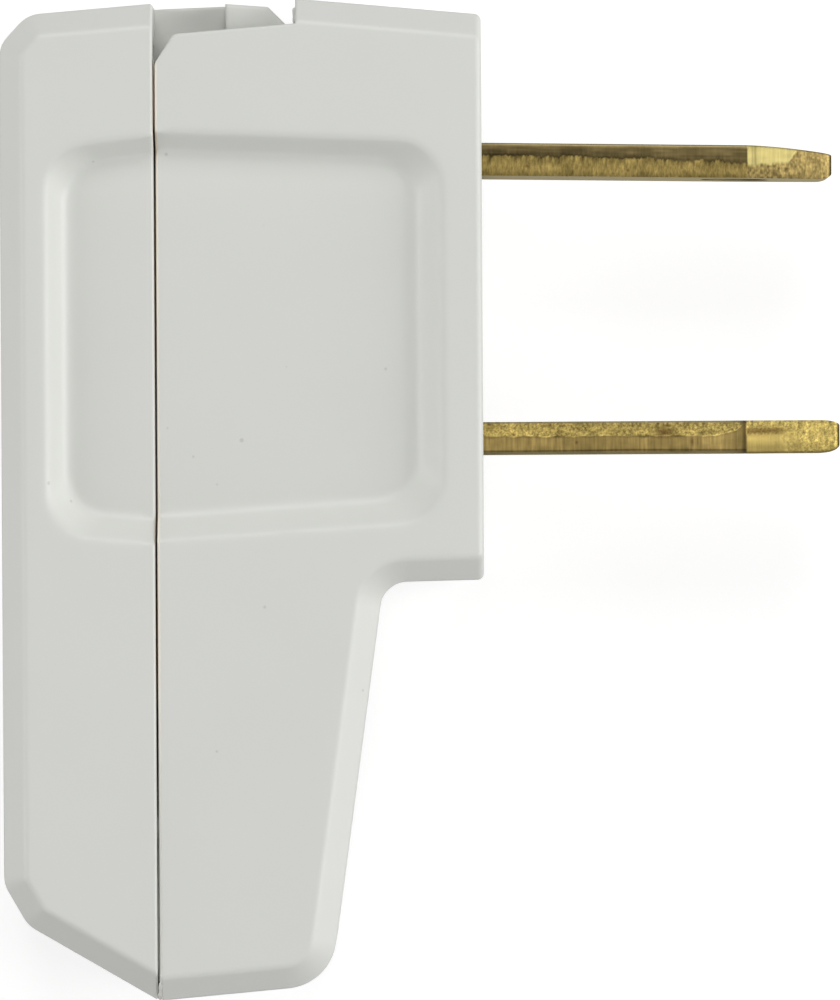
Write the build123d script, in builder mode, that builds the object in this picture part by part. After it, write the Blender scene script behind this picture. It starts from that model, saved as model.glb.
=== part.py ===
from build123d import *
import os

# Flat two-blade mains plug: a housing moulded in two parts that snap together, two brass blades bent to
# terminal tabs, and two terminal screws. Millimetres. +X runs out of the front face along the blades, +Y runs
# from the tail to the head, and +Z is up, with the plug lying on its flat side. The origin is on the front
# face, midway between the blades, at half the thickness. "Back" sizes are measured behind the front face, and
# "drop" sizes below the midline of the blades.

# Housing, outside
thickness = 15.0
seam_back = 14.9
seam_gap = 0.1
cover_depth = 7.05
roof_front = 12.95
roof_ridge = 13.9
ridge_back = 10.45
roof_rear = 12.95
step_drop = 12.8
step_root_drop = 12.9
step_root_back = 4.6
tail_front_back = 7.1
tail_front_drop = 31.2
tail_tip_drop = 31.9
tail_rear_drop = 27.8
rear_top_bevel = 1.3
rear_foot_bevel = 1.25
bevel_round = 1.45
tail_round = 2.4
step_round = 1.3
rim_chamfer = 1.05
rim_round = 0.4
front_round = 0.3
seam_bevel = 0.1

# Finger grip, a shallow drafted recess across the seam on both flat sides
grip_depth = 1.15
grip_rear_back = 19.85
grip_front_back = 1.85
grip_head_rear = 7.05
grip_head_seam = 7.65
grip_head_front = 7.15
grip_foot_rear = 10.5
grip_foot_seam = 10.95
grip_foot_front = 10.15
grip_corner = 2.05
grip_wall_rear = 0.8
grip_wall_front = 1.15
grip_wall_head = 0.85
grip_wall_foot = 1.1
grip_floor_round = 0.4
grip_rim_round = 0.25
cover_grip_drop = 0.15

# Housing, inside
wall = 1.8
grip_wall = 1.35
guide_wall = 1.3
web = 1.2

# Snap latch: a T-headed tongue of the cover in a notch of the body
notch_back = 8.45
notch_head_front = 12.55
notch_head_rear = 12.1
notch_bevel = 0.85
notch_bevel_drop = 1.35
notch_round = 0.4
latch_side_wall = 1.6
latch_bed = 10.7
tongue_clearance = 0.25
tongue_top = 13.51
tongue_fall = 0.18
tongue_width = 6.8
tongue_root = 1.5
hook_top = 13.54
hook_fall = 0.15
hook_back = 11.65
hook_width = 11.2
hook_reach = 2.85
hook_nose = 0.9
hook_edge_round = 0.15
catch_top = 11.9
catch_clearance = 0.1

# Blades, bent to a terminal tab behind their seat
blade_pitch = 12.7
blade_thickness = 1.5
blade_width = 6.35
upper_blade_reach = 16.1
lower_blade_reach = 16.4
blade_seat_back = 11.5
blade_clearance = 0.2
bend_round = 0.5
tab_length = 7.9
tip_taper = 4.0
tip_width = 4.7
tip_corner = 0.6
tip_thinning = 0.18
tip_nose = 0.9
tip_nose_top = 0.25
tip_nose_foot = 0.3
contact_hole = 3.1
contact_hole_reach = 11.7

# Terminal screws
screw_diameter = 3.4
screw_length = 5.0
screw_head_diameter = 6.2
screw_head_height = 1.7
screw_head_bevel = 0.4
screw_slot = 1.0
screw_slot_depth = 0.9
screw_drop = 4.4
screw_clearance = 0.05
screw_way_clearance = 0.1
tab_seat_depth = 4.5

# Cord inlet at the tip of the tail, and the ribs that grip the cord
inlet_width = 7.6
inlet_height = 4.6
inlet_flare = 0.6
flare_angle = 45
cord_pinch = 0.4
body_rib_drops = (19.5, 26.0)
cover_rib_drops = (22.8,)

# Pegs, lips and hold-down ribs of the cover
peg_diameter = 1.4
peg_length = 2.4
peg_clearance = 0.05
peg_places = (9.4, -24.0)
lip_reach = 1.2
lip_thickness = 0.8
lip_clearance = 0.1
lip_root = 1.0
lip_head = 8.0
lip_drop = 17.0
hold_clearance = 0.1
hold_width = 5.0

# Places worked out from the sizes above
half = thickness / 2
back = seam_back + cover_depth
cavity_half = half - grip_depth - grip_wall
latch_half = half - latch_side_wall
peg_across = (cavity_half + half) / 2
tab_back = blade_seat_back + blade_thickness
tongue_under = latch_bed + tongue_clearance
blade_heights = {"upper": blade_pitch / 2, "lower": -blade_pitch / 2}
blade_reaches = {"upper": upper_blade_reach, "lower": lower_blade_reach}
body_seam = -seam_back + seam_gap / 2
cover_seam = -seam_back - seam_gap / 2
tail_plane = Plane(origin=(-seam_back, -tail_tip_drop, 0), x_dir=(0, 0, 1), z_dir=(0, 1, 0))
sides = (1, -1)

rear_top = (-back, roof_rear)
ridge = (-ridge_back, roof_ridge)
front_top = (0, roof_front)
front_foot = (0, -step_drop)
step_root = (-step_root_back, -step_root_drop)
tail_front = (-tail_front_back, -tail_front_drop)
tail_tip = (-seam_back, -tail_tip_drop)
tail_rear = (-back, -tail_rear_drop)
corners = (rear_top, ridge, front_top, front_foot, step_root, tail_front, tail_tip, tail_rear)


def tail_front_at(drop):
    """X of the tail's slanted front face at a drop below the midline."""
    share = (drop - step_root_drop) / (tail_front_drop - step_root_drop)
    return -(step_root_back + share * (tail_front_back - step_root_back))


# Outline of the closed housing on its flat side, with its bevelled and rounded corners, and the hollow in it
with BuildSketch() as outline:
    with BuildLine():
        Polyline(*corners, close=True)
    make_face()
    for corner, bevel in ((rear_top, rear_top_bevel), (tail_rear, rear_foot_bevel)):
        chamfer(outline.vertices().sort_by_distance(corner)[0], bevel)
        fillet(outline.vertices().sort_by_distance(corner)[:2], bevel_round)
    for corner, radius in ((tail_front, tail_round), (step_root, step_round)):
        fillet(outline.vertices().sort_by_distance(corner)[0], radius)

with BuildSketch() as hollow:
    with BuildLine():
        Polyline(*corners, close=True)
    make_face()
    offset(amount=-wall, kind=Kind.INTERSECTION, mode=Mode.REPLACE)


# Finger grip: walls drafted from the rim down to a smaller floor, rounded where they meet it
grip_rim = (
    (-grip_rear_back, grip_head_rear),
    (-seam_back, grip_head_seam),
    (-grip_front_back, grip_head_front),
    (-grip_front_back, -grip_foot_front),
    (-seam_back, -grip_foot_seam),
    (-grip_rear_back, -grip_foot_rear),
)
grip_insets = (
    (grip_wall_rear, -grip_wall_head),
    (0, -grip_wall_head),
    (-grip_wall_front, -grip_wall_head),
    (-grip_wall_front, grip_wall_foot),
    (0, grip_wall_foot),
    (grip_wall_rear, grip_wall_foot),
)
grip_floor = [(x + dx, y + dy) for (x, y), (dx, dy) in zip(grip_rim, grip_insets)]
grip_turns = (0, 2, 3, 5)

with BuildPart() as finger_grip:
    for level, ring in ((half, grip_rim), (half - grip_depth, grip_floor)):
        with BuildSketch(Plane.XY.offset(level)) as ring_sketch:
            with BuildLine():
                Polyline(*ring, close=True)
            make_face()
            for turn in grip_turns:
                fillet(ring_sketch.vertices().sort_by_distance((*ring[turn], level))[0], grip_corner)
    loft(ruled=True)
    fillet(finger_grip.faces().sort_by(Axis.Z)[0].edges(), grip_floor_round)
    mirror(about=Plane.XY)


def end_edges(housing, ends):
    """Edges of the housing's end faces along X: the rearmost (0), the foremost (-1) or both."""
    faces = housing.faces().sort_by(Axis.X)
    return ShapeList(edge for end in ends for edge in faces[end].edges())


def round_rim(housing, ends):
    """Chamfers the rim of both flat sides, but not at the end faces named, and rounds the chamfers."""
    chamfer(housing.faces().filter_by(Axis.Z).edges() - end_edges(housing, ends), rim_chamfer)
    fillet(housing.faces().filter_by(Axis.Z).edges() - end_edges(housing, ends), rim_round)


def cut_grip(housing, drop):
    """Cuts the finger grip into both flat sides at a drop, and rounds its rim."""
    add(finger_grip.part.moved(Location((0, -drop, 0))), mode=Mode.SUBTRACT)
    flat_sides = housing.faces().filter_by(Axis.Z).group_by(SortBy.DISTANCE)[-1]
    rear, front = -grip_rear_back - grip_rim_round, -grip_front_back + grip_rim_round
    foot, head = -grip_foot_seam - drop - grip_rim_round, grip_head_seam + grip_rim_round
    along = flat_sides.edges().filter_by_position(Axis.X, rear, front)
    fillet(along.filter_by_position(Axis.Y, foot, head), grip_rim_round)


def cut_cord_way():
    """Cuts the way of the cord along the seam: the flared inlet and the saddles of the ribs."""
    with BuildSketch(tail_plane) as mouth:
        SlotOverall(inlet_width + 2 * inlet_flare, inlet_height + 2 * inlet_flare)
    extrude(mouth.sketch, amount=inlet_flare, taper=flare_angle, mode=Mode.SUBTRACT)
    with BuildSketch(tail_plane) as inlet:
        SlotOverall(inlet_width, inlet_height)
    extrude(inlet.sketch, amount=tail_tip_drop - tail_rear_drop, mode=Mode.SUBTRACT)
    with BuildSketch(tail_plane) as saddle:
        SlotOverall(inlet_width - 2 * cord_pinch, inlet_height - 2 * cord_pinch)
    extrude(saddle.sketch, amount=tail_tip_drop - step_root_drop, mode=Mode.SUBTRACT)


# Front body
with BuildPart() as front_body:
    extrude(outline.sketch, amount=half, both=True)
    split(bisect_by=Plane(origin=(body_seam, 0, 0), z_dir=(1, 0, 0)), keep=Keep.TOP)
    round_rim(front_body, (0, -1))
    fillet(end_edges(front_body, (-1,)), front_round)
    cut_grip(front_body, 0)
    chamfer(end_edges(front_body, (0,)), seam_bevel)
    extrude(hollow.sketch, amount=cavity_half, both=True, mode=Mode.SUBTRACT)

    # Webs across the hollow: blade guides with their tab seats, cord ribs and the shelf under the latch
    with BuildSketch():
        for height in blade_heights.values():
            guide_head = height + blade_thickness / 2 + guide_wall
            guide_foot = height - blade_thickness / 2 - guide_wall
            tab_foot = height - tab_length - blade_clearance
            with BuildLine():
                Polyline(
                    (-blade_seat_back, guide_head),
                    (-wall, guide_head),
                    (-wall, guide_foot),
                    (-blade_seat_back + tab_seat_depth, guide_foot),
                    (-blade_seat_back + tab_seat_depth, tab_foot),
                    (-blade_seat_back, tab_foot),
                    close=True,
                )
            make_face()
        for drop in body_rib_drops:
            rib_front = tail_front_at(drop) - wall / 2
            with Locations(((body_seam + rib_front) / 2, -drop)):
                Rectangle(rib_front - body_seam, web)
        with BuildLine():
            Polyline(
                (body_seam, latch_bed - wall),
                (-notch_back + wall, latch_bed - wall),
                (-notch_back + wall, notch_head_front),
                (body_seam, notch_head_rear),
                close=True,
            )
        make_face()
    extrude(amount=cavity_half, both=True)

    # Slots that the blades pass through, eased at the bend, and the ways of the screw tips
    with BuildSketch():
        for height in blade_heights.values():
            slot_half = blade_thickness / 2 + blade_clearance
            ease = bend_round + blade_clearance
            with BuildLine():
                Polyline(
                    (-blade_seat_back, height + slot_half),
                    (front_round, height + slot_half),
                    (front_round, height - slot_half),
                    (-blade_seat_back + ease, height - slot_half),
                    (-blade_seat_back, height - slot_half - ease),
                    close=True,
                )
            make_face()
    extrude(amount=blade_width / 2 + blade_clearance, both=True, mode=Mode.SUBTRACT)
    with BuildSketch(Plane.YZ.offset(-blade_seat_back)):
        for height in blade_heights.values():
            with Locations((height - screw_drop, 0)):
                Circle(screw_diameter / 2 + screw_way_clearance)
    extrude(amount=tab_seat_depth, mode=Mode.SUBTRACT)

    # Latch notch across the whole thickness, and the deeper channel of the tongue with its two catches
    with BuildSketch() as notch:
        with BuildLine():
            Polyline(
                (body_seam, latch_bed - wall),
                (body_seam, notch_head_rear - notch_bevel_drop),
                (body_seam + notch_bevel, notch_head_rear),
                (-notch_back, notch_head_front),
                (-notch_back, roof_ridge + wall),
                (cover_seam, roof_ridge + wall),
                (cover_seam, latch_bed - wall),
                close=True,
            )
        make_face()
        fillet(notch.vertices().sort_by_distance((body_seam, notch_head_rear))[:2], notch_round)
    extrude(amount=half, both=True, mode=Mode.SUBTRACT)
    with BuildSketch():
        with BuildLine():
            Polyline(
                (-seam_back, latch_bed),
                (-notch_back, latch_bed),
                (-notch_back, roof_ridge + wall),
                (-seam_back, roof_ridge + wall),
                close=True,
            )
        make_face()
    extrude(amount=latch_half, both=True, mode=Mode.SUBTRACT)
    for side in sides:
        with BuildSketch(Plane.XY.offset(side * (tongue_width / 2 + tongue_clearance))):
            with BuildLine():
                Polyline(
                    (body_seam, latch_bed),
                    (-hook_back - catch_clearance, latch_bed),
                    (-hook_back - catch_clearance, catch_top),
                    (body_seam, latch_bed + tongue_clearance),
                    close=True,
                )
            make_face()
        extrude(amount=side * (latch_half - tongue_width / 2 - tongue_clearance))

    cut_cord_way()

    # Sockets of the cover's pegs
    with BuildSketch(Plane.YZ.offset(body_seam)):
        with Locations(*[(place, side * peg_across) for place in peg_places for side in sides]):
            Circle(peg_diameter / 2 + peg_clearance)
    extrude(amount=peg_length + peg_diameter / 2, mode=Mode.SUBTRACT)


# Rear cover
with BuildPart() as rear_cover:
    extrude(outline.sketch, amount=half, both=True)
    split(bisect_by=Plane(origin=(cover_seam, 0, 0), z_dir=(1, 0, 0)), keep=Keep.BOTTOM)
    round_rim(rear_cover, (-1,))
    cut_grip(rear_cover, cover_grip_drop)
    chamfer(end_edges(rear_cover, (-1,)), seam_bevel)
    extrude(hollow.sketch, amount=cavity_half, both=True, mode=Mode.SUBTRACT)

    # Ribs that hold the blades on their seats, and ribs that grip the cord
    with BuildSketch():
        for height in blade_heights.values():
            with Locations(((-tab_back - hold_clearance - back + wall / 2) / 2, height)):
                Rectangle(back - wall / 2 - tab_back - hold_clearance, web)
    extrude(amount=hold_width / 2, both=True)
    with BuildSketch():
        for drop in cover_rib_drops:
            with Locations(((cover_seam - back + wall / 2) / 2, -drop)):
                Rectangle(back + cover_seam - wall / 2, web)
    extrude(amount=cavity_half, both=True)
    cut_cord_way()

    # Lips that stand inside the long walls of the body
    lip_outside = cavity_half - lip_clearance
    for side in sides:
        with BuildSketch(Plane.XZ.offset(-lip_head)):
            with BuildLine():
                Polyline(
                    (cover_seam - lip_root, side * cavity_half),
                    (cover_seam, side * cavity_half),
                    (cover_seam, side * lip_outside),
                    (cover_seam + lip_reach, side * lip_outside),
                    (cover_seam + lip_reach, side * (lip_outside - lip_thickness)),
                    (cover_seam - lip_root, side * (lip_outside - lip_thickness)),
                    close=True,
                )
            make_face()
        extrude(amount=lip_head + lip_drop)

    # Pegs in the thick parts of the side walls
    with BuildSketch(Plane.YZ.offset(cover_seam)):
        with Locations(*[(place, side * peg_across) for place in peg_places for side in sides]):
            Circle(peg_diameter / 2)
    extrude(amount=peg_length)

    # Snap tongue: an arm from the head wall with a wider hook, bevelled at its nose
    with BuildSketch():
        with BuildLine():
            Polyline(
                (cover_seam - tongue_root, tongue_under),
                (-hook_back, tongue_under),
                (-hook_back, tongue_top),
                (cover_seam - tongue_root, tongue_top - tongue_fall),
                close=True,
            )
        make_face()
    extrude(amount=tongue_width / 2, both=True)
    nose_top = hook_top - hook_fall
    with BuildSketch():
        with BuildLine():
            Polyline(
                (-hook_back, tongue_under),
                (-hook_back + hook_reach / 2, tongue_under),
                (-hook_back + hook_reach, catch_top),
                (-hook_back + hook_reach, nose_top - hook_nose),
                (-hook_back + hook_reach - hook_nose, nose_top),
                (-hook_back, hook_top),
                close=True,
            )
        make_face()
    extrude(amount=hook_width / 2, both=True)
    hook_sides = rear_cover.faces().filter_by(Axis.Z).filter_by_position(Axis.X, -hook_back, -notch_back)
    fillet(hook_sides.edges(), hook_edge_round)


def make_blade(height, reach):
    """Brass blade at a height: a flat strip with a tapered tip and a hole, bent down to a tapped tab."""
    with BuildPart() as blade:
        with BuildSketch() as strip:
            top = height + blade_thickness / 2
            foot = height - blade_thickness / 2
            tab_end = height - tab_length
            with BuildLine():
                Polyline(
                    (reach - tip_taper, top),
                    (-tab_back, top),
                    (-tab_back, tab_end),
                    (-blade_seat_back, tab_end),
                    (-blade_seat_back, foot),
                    (reach - tip_nose, foot),
                    (reach, foot + tip_nose_foot),
                    (reach, top - tip_thinning - tip_nose_top),
                    (reach - tip_nose, top - tip_thinning),
                    close=True,
                )
            make_face()
            fillet(strip.vertices().sort_by_distance((-blade_seat_back, foot))[0], bend_round)
            fillet(strip.vertices().sort_by_distance((-tab_back, top))[0], bend_round + blade_thickness)
        extrude(amount=blade_width / 2, both=True)
        with BuildSketch(Plane.XZ.offset(-top)):
            for side in sides:
                with BuildLine():
                    Polyline(
                        (reach - tip_taper, side * blade_width / 2),
                        (reach, side * tip_width / 2),
                        (reach, side * blade_width / 2),
                        close=True,
                    )
                make_face()
        extrude(amount=blade_thickness, mode=Mode.SUBTRACT)
        end_face = blade.faces().sort_by(Axis.X)[-1]
        fillet(end_face.edges().filter_by(Axis.Y), tip_corner)
        with Locations(Plane.XZ.offset(-top)):
            with Locations((contact_hole_reach, 0)):
                Hole(contact_hole / 2, blade_thickness)
        with Locations(Plane.YZ.offset(-blade_seat_back)):
            with Locations((height - screw_drop, 0)):
                Hole(screw_diameter / 2 + screw_clearance, blade_thickness)
    return blade.part


def make_screw(height):
    """Terminal screw along X: a slotted round head on the tab, and a shank that reaches into its seat."""
    with BuildPart() as screw:
        with BuildSketch(Plane.YZ.offset(-tab_back)):
            with Locations((height - screw_drop, 0)):
                Circle(screw_head_diameter / 2)
        extrude(amount=-screw_head_height)
        head_top = screw.faces().sort_by(Axis.X)[0]
        chamfer(head_top.edges(), screw_head_bevel)
        with BuildSketch(Plane.YZ.offset(-tab_back)):
            with Locations((height - screw_drop, 0)):
                Circle(screw_diameter / 2)
        extrude(amount=screw_length)
        with BuildSketch(Plane.YZ.offset(-tab_back - screw_head_height)):
            with Locations((height - screw_drop, 0)):
                Rectangle(screw_slot, screw_head_diameter)
        extrude(amount=screw_slot_depth, mode=Mode.SUBTRACT)
    return screw.part


os.makedirs("parts", exist_ok=True)
front_body.part.label = "front_body"
export_step(front_body.part, "parts/front_body.step")
rear_cover.part.label = "rear_cover"
export_step(rear_cover.part, "parts/rear_cover.step")
for name, height in blade_heights.items():
    blade = make_blade(height, blade_reaches[name])
    blade.label = f"{name}_blade"
    export_step(blade, f"parts/{name}_blade.step")
    screw = make_screw(height)
    screw.label = f"{name}_screw"
    export_step(screw, f"parts/{name}_screw.step")
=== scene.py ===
import math

import bpy
from bpy.props import FloatProperty, FloatVectorProperty, PointerProperty
import numpy as np
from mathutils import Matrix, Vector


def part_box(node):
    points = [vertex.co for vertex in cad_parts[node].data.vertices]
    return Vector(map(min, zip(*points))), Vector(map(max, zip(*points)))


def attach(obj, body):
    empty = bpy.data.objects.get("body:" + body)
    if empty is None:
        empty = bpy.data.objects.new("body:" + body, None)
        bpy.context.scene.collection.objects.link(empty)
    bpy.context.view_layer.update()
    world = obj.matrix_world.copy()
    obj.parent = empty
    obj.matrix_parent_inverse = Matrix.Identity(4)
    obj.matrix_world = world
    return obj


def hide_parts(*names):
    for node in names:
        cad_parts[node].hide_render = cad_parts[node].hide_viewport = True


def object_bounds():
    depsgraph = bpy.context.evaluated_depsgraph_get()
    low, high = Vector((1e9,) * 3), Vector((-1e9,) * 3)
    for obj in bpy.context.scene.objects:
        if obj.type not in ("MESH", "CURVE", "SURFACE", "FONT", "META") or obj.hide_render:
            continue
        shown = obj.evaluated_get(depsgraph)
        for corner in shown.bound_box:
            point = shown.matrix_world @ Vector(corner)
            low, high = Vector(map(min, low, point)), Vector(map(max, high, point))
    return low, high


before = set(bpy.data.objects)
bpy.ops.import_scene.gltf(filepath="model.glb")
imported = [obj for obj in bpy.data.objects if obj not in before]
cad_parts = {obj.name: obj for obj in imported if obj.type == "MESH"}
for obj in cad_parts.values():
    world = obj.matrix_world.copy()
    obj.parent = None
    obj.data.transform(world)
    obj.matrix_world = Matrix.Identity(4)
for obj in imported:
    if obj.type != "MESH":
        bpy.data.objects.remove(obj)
CAD_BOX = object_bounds()

bl_info = {
    "name": "Flat plug",
    "version": (1, 0, 0),
    "blender": (4, 5, 0),
    "location": "3D View > Sidebar > Flat plug",
    "description": "Dresses the solids of a flat mains plug: satin mouldings, sheared brass blades, studio",
    "category": "Object",
}

MM = 0.001
BODY = "root"
BODY_LOW, BODY_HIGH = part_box("front_body")
UPPER_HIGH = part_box("upper_blade")[1]
SCREW_LOW, SCREW_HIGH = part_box("upper_screw")

# The housing: its rim, its seam, the spans of Y where the seam's painted highlight fades in and where its
# walls are brownish, and the spans of X and Y of the finger grip with its walls
RIM_CHAMFER = 1.05 * MM
SEAM_GAP = 0.1 * MM
SEAM = BODY_LOW.x - SEAM_GAP / 2
SEAM_HIGHLIGHT_FADE = (-25.0 * MM, -17.0 * MM)
SEAM_BROWNISH = (-17.0 * MM, 9.5 * MM)
GRIP = ((-20.4 * MM, -1.4 * MM), (-11.5 * MM, 8.1 * MM))
GRIP_MARGIN = 0.3 * MM

# Steps along a blade's strip: fine where it is seen, coarse inside the housing
FINE_STEP = 0.04 * MM
COARSE_STEP = 0.3 * MM
CORNER_STEPS = 12
BEND_STEPS = 17
TAB_STEPS = 20

# Steps round its section, how much those of the edges are bunched at the faces, and the rings of its ends
EDGE_STEPS = 47
FACE_STEPS = 12
BUNCHED = 0.3
END_RINGS = (0.75, 0.5, 0.25)

# Lumps of the torn band: depth, and size along the blade and as a share of its thickness
TEAR_LUMPS = ((0.012 * MM, (0.18 * MM, 0.5)), (0.005 * MM, (0.08 * MM, 0.2)))

# Dark pits of the sheared edges: millimetres from the housing, and share of the thickness from the upper face
UPPER_PITS = ((6.73, 0.8), (2.1, 0.7), (9.5, 0.46))
LOWER_PITS = ((1.4, 0.41), (2.5, 0.42), (4.3, 0.64), (9.08, 0.14), (3.1, 0.1))
PIT_SIZE = (0.07 * MM, 0.05)

# Each mark's value on the rolled faces of a blade and on its ends, and the painted shade of its drilled walls
FLAT_MARKS = {"torn": (0.0, 0.6), "shade": (1.0, 0.45), "stain": (0.0, 0.0), "tip": (0.0, 1.0),
              "sheared": (0.0, 1.0)}
HOLE_SHADE = 0.6

# Range that most of a noise lies in, and sizes of the fine textures of the plastic, the brass and the steel
NOISE_RANGE = (0.3, 0.7)
CLOUD, SHEEN = 5.0 * MM, 1.2 * MM
STROKE, SMUDGE, GRIT, ROLLING = 0.1 * MM, 0.5 * MM, 0.09 * MM, 0.06 * MM
RING, HAZE = 0.08 * MM, 0.8 * MM

# Tones of the specks in the plastic, the stains and glints of the brass, the steel and the surroundings
SPECK_TONE = (0.16, 0.15, 0.13, 1.0)
STAIN_TONE = (0.075, 0.038, 0.012, 1.0)
GLINT_TONE = (0.8, 0.73, 0.55, 1.0)
STEEL_TONES = ((0.5, 0.5, 0.49, 1.0), (0.66, 0.66, 0.65, 1.0))
WHITE = (1.0, 1.0, 1.0, 1.0)

# The picture in pixels, with the column of the front face and the row of the blades' midline, and the floor
PICTURE_WIDTH, PICTURE_HEIGHT = 840, 1000
FRONT_COLUMN, MIDLINE_ROW = 483.6, 299
SENSOR = 24.0
FLOOR_REACH = 2.0
FLOOR_GAP = 0.02 * MM


class PlugHousingSettings(bpy.types.PropertyGroup):
    """Finish of the two moulded halves."""

    plastic: FloatVectorProperty(
        name="Plastic", description="Colour of the moulded housing", subtype="COLOR",
        default=(0.662, 0.669, 0.634))
    roughness: FloatProperty(
        name="Roughness", description="Roughness of the satin mould finish", subtype="FACTOR", default=0.4,
        min=0.0, max=1.0)
    gloss: FloatProperty(
        name="Gloss", description="Strength of the plastic's reflections", subtype="FACTOR", default=0.35,
        min=0.0, max=1.0)
    grain: FloatProperty(
        name="Grain", description="Size of the fine mould grain", unit="LENGTH", default=0.14 * MM)
    grain_depth: FloatProperty(
        name="Grain depth", description="Depth of the fine mould grain", unit="LENGTH", default=0.002 * MM)
    speck_spacing: FloatProperty(
        name="Speck spacing", description="Distance between the places where a speck may lie", unit="LENGTH",
        default=1.1 * MM)
    speck_size: FloatProperty(
        name="Speck size", description="Radius of the largest dark specks", unit="LENGTH", default=0.12 * MM)
    edge_round: FloatProperty(
        name="Edge round", description="Radius of the soft light on edges", unit="LENGTH", default=0.22 * MM)
    seam_round: FloatProperty(
        name="Seam round", description="Radius of the soft light on the seam's edges", unit="LENGTH",
        default=0.1 * MM)
    grip_round: FloatProperty(
        name="Grip round", description="Radius of the soft light on the grip's walls", unit="LENGTH",
        default=0.65 * MM)
    # Painted highlight of the seam's edge: the colour of a pale warm band beside it
    seam_highlight: FloatVectorProperty(
        name="Seam edge", description="Colour of the thin pale edge along the seam", subtype="COLOR",
        default=(0.95, 0.89, 0.78))
    # Brown tint of the walls inside the seam
    seam_wall: FloatVectorProperty(
        name="Seam wall", description="Colour of the dusty walls inside the seam", subtype="COLOR",
        default=(0.72, 0.56, 0.37))
    # Width of that painted highlight
    seam_highlight_width: FloatProperty(
        name="Seam edge width", description="Width of the pale edge along the seam", unit="LENGTH",
        default=0.14 * MM)


class PlugBladeSettings(bpy.types.PropertyGroup):
    """Sizes and tone that the two brass blades share."""

    thickness: FloatProperty(
        name="Thickness", description="Thickness of the brass strip", unit="LENGTH", default=1.5 * MM)
    bend: FloatProperty(
        name="Bend", description="Inner radius of the bend to the tab", unit="LENGTH", default=0.5 * MM)
    tip_width: FloatProperty(
        name="Tip width", description="Width of the strip at its end", unit="LENGTH", default=4.7 * MM)
    tip_corner: FloatProperty(
        name="Tip corner", description="Radius of the corners of the tip", unit="LENGTH", default=0.35 * MM)
    contact_hole: FloatProperty(
        name="Contact hole", description="Diameter of the hole near the tip", unit="LENGTH", default=3.1 * MM)
    contact_reach: FloatProperty(
        name="Contact reach", description="Distance of that hole from the front face", unit="LENGTH",
        default=11.7 * MM)
    tapped_hole: FloatProperty(
        name="Tapped hole", description="Diameter of the hole in the tab", unit="LENGTH", default=3.5 * MM)
    rollover: FloatProperty(
        name="Rollover", description="Radius of the edge that the punch drew in", unit="LENGTH",
        default=0.1 * MM)
    tear_depth: FloatProperty(
        name="Tear depth", description="How far the torn part of the sheared edge stands back", unit="LENGTH",
        default=0.035 * MM)
    brass: FloatVectorProperty(
        name="Brass", description="Colour of the rolled faces", subtype="COLOR",
        default=(0.222, 0.188, 0.102))


class PlugUpperBladeSettings(bpy.types.PropertyGroup):
    """Stance, tip and tones of the upper blade."""

    lift: FloatProperty(
        name="Lift", description="How far the blade stands up in its slot", unit="LENGTH", default=0.11 * MM)
    tilt: FloatProperty(
        name="Tilt", description="Tilt towards the tail", unit="ROTATION", default=math.radians(0.88))
    tip_length: FloatProperty(
        name="Tip length", description="Length of the tapered tip", unit="LENGTH", default=3.88 * MM)
    tip_drop: FloatProperty(
        name="Tip drop", description="Drop of the upper face along the tip", unit="LENGTH", default=0.35 * MM)
    nose_top: FloatProperty(
        name="Nose top", description="Rounding of the nose's upper edge", unit="LENGTH", default=0.06 * MM)
    nose_foot: FloatProperty(
        name="Nose foot", description="Rounding of the nose's lower edge", unit="LENGTH", default=0.28 * MM)
    nose: FloatProperty(
        name="Nose", description="Length of these roundings", unit="LENGTH", default=0.6 * MM)
    end_hollow: FloatProperty(
        name="End hollow", description="Depth of the hollow end of the tip", unit="LENGTH", default=0.08 * MM)
    strokes: FloatProperty(
        name="Strokes", description="Strength of the fine upright strokes", subtype="FACTOR", default=0.1)
    grit: FloatProperty(
        name="Grit", description="Strength of the torn band's grit", subtype="FACTOR", default=0.36)
    lump_length: FloatProperty(
        name="Lump length", description="Height of the torn band's grit over its width", default=3.0)
    burnished: FloatVectorProperty(
        name="Burnished", description="Colour of the burnished band", subtype="COLOR",
        default=(0.118, 0.089, 0.037))
    torn: FloatVectorProperty(
        name="Torn", description="Colour of the torn band", subtype="COLOR", default=(0.19, 0.14, 0.045))
    tip_smooth: FloatVectorProperty(
        name="Tip smooth", description="Colour of the smooth part of the tip", subtype="COLOR",
        default=(0.376, 0.318, 0.123))
    tip_torn: FloatVectorProperty(
        name="Tip torn", description="Colour of the mottled part of the tip", subtype="COLOR",
        default=(0.178, 0.132, 0.048))


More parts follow.
